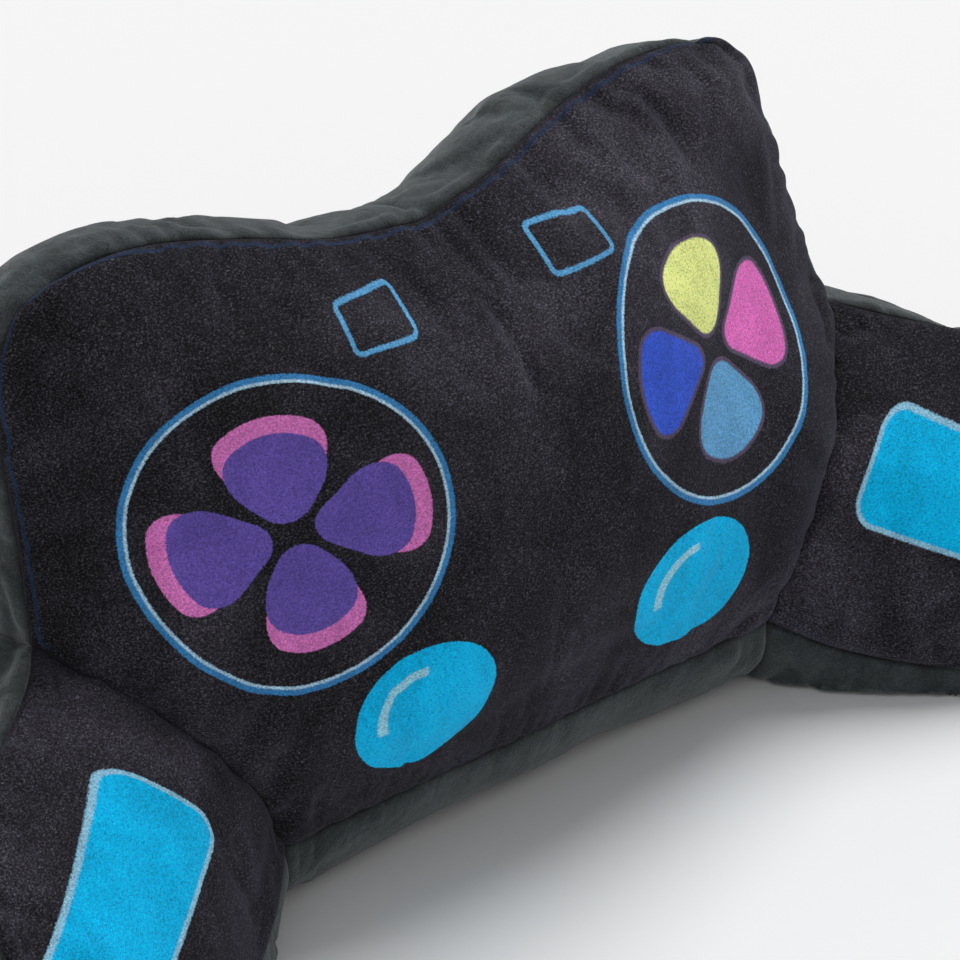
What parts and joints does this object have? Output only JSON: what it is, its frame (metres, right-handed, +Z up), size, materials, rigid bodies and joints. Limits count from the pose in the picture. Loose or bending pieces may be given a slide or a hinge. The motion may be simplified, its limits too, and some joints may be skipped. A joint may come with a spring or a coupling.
{
  "type": "gamepad shaped backrest pillow",
  "caption": "Stuffed plush backrest pillow shaped like a game controller, with two splayed arms, printed buttons and a rear zip.",
  "frame": {"origin": "middle of the outline's box, on the floor that the pillow stands on", "axes": "+X towards the right arm as the sitter's front panel is looked at, +Y towards the back, +Z up"},
  "size_m": [0.8514, 0.3567, 0.3603],
  "materials": {
    "printed_plush": "short-pile printed plush, near black with blue, pink, violet and yellow-green motifs",
    "grey_plush": "longer crushed charcoal plush",
    "fibre_fill": "loose polyester fibre",
    "zip_tape": "woven tape",
    "zip_coil": "moulded teeth",
    "zip_metal": "nickel plated",
    "label_satin": "satin weave, blank"
  },
  "bodies": {
    "back": {"back_fill": "fibre_fill", "front_panel": "printed_plush", "back_panel": "grey_plush", "top_gusset": "grey_plush", "bottom_gusset": "grey_plush", "zip_tape_upper": "zip_tape", "zip_tape_lower": "zip_tape", "zip_teeth_upper": "zip_coil", "zip_teeth_lower": "zip_coil", "zip_top_stop": "zip_metal", "zip_bottom_stop": "zip_metal", "care_label": "label_satin"},
    "zip_slider": {"zip_slider": "zip_metal"},
    "zip_pull": {"zip_pull": "zip_metal"},
    "left_arm": {"left_arm_fill": "fibre_fill", "left_arm_inner_panel": "printed_plush", "left_arm_outer_panel": "grey_plush", "left_arm_gusset": "grey_plush"},
    "right_arm": {"right_arm_fill": "fibre_fill", "right_arm_inner_panel": "printed_plush", "right_arm_outer_panel": "grey_plush", "right_arm_gusset": "grey_plush"}
  },
  "joints": [
    {"name": "left_arm_swing", "type": "hinge", "parent": "back", "child": "left_arm", "pos_m": [-0.222, 0.0407, 0.09], "axis": [0, 0, -1], "range_deg": [-6, 6], "stiffness_Nm_per_rad": 12},
    {"name": "right_arm_swing", "type": "hinge", "parent": "back", "child": "right_arm", "pos_m": [0.222, 0.0407, 0.09], "axis": [0, 0, 1], "range_deg": [-6, 6], "stiffness_Nm_per_rad": 12},
    {"name": "zip_slide", "type": "slide", "parent": "back", "child": "zip_slider", "axis": [-1, 0, 0], "range_m": [0, 0.256]},
    {"name": "zip_pull_swing", "type": "hinge", "parent": "zip_slider", "child": "zip_pull", "pos_m": [0.1285, 0.10405, 0.035], "axis": [0, 0, -1], "range_deg": [0, 165]}
  ]
}
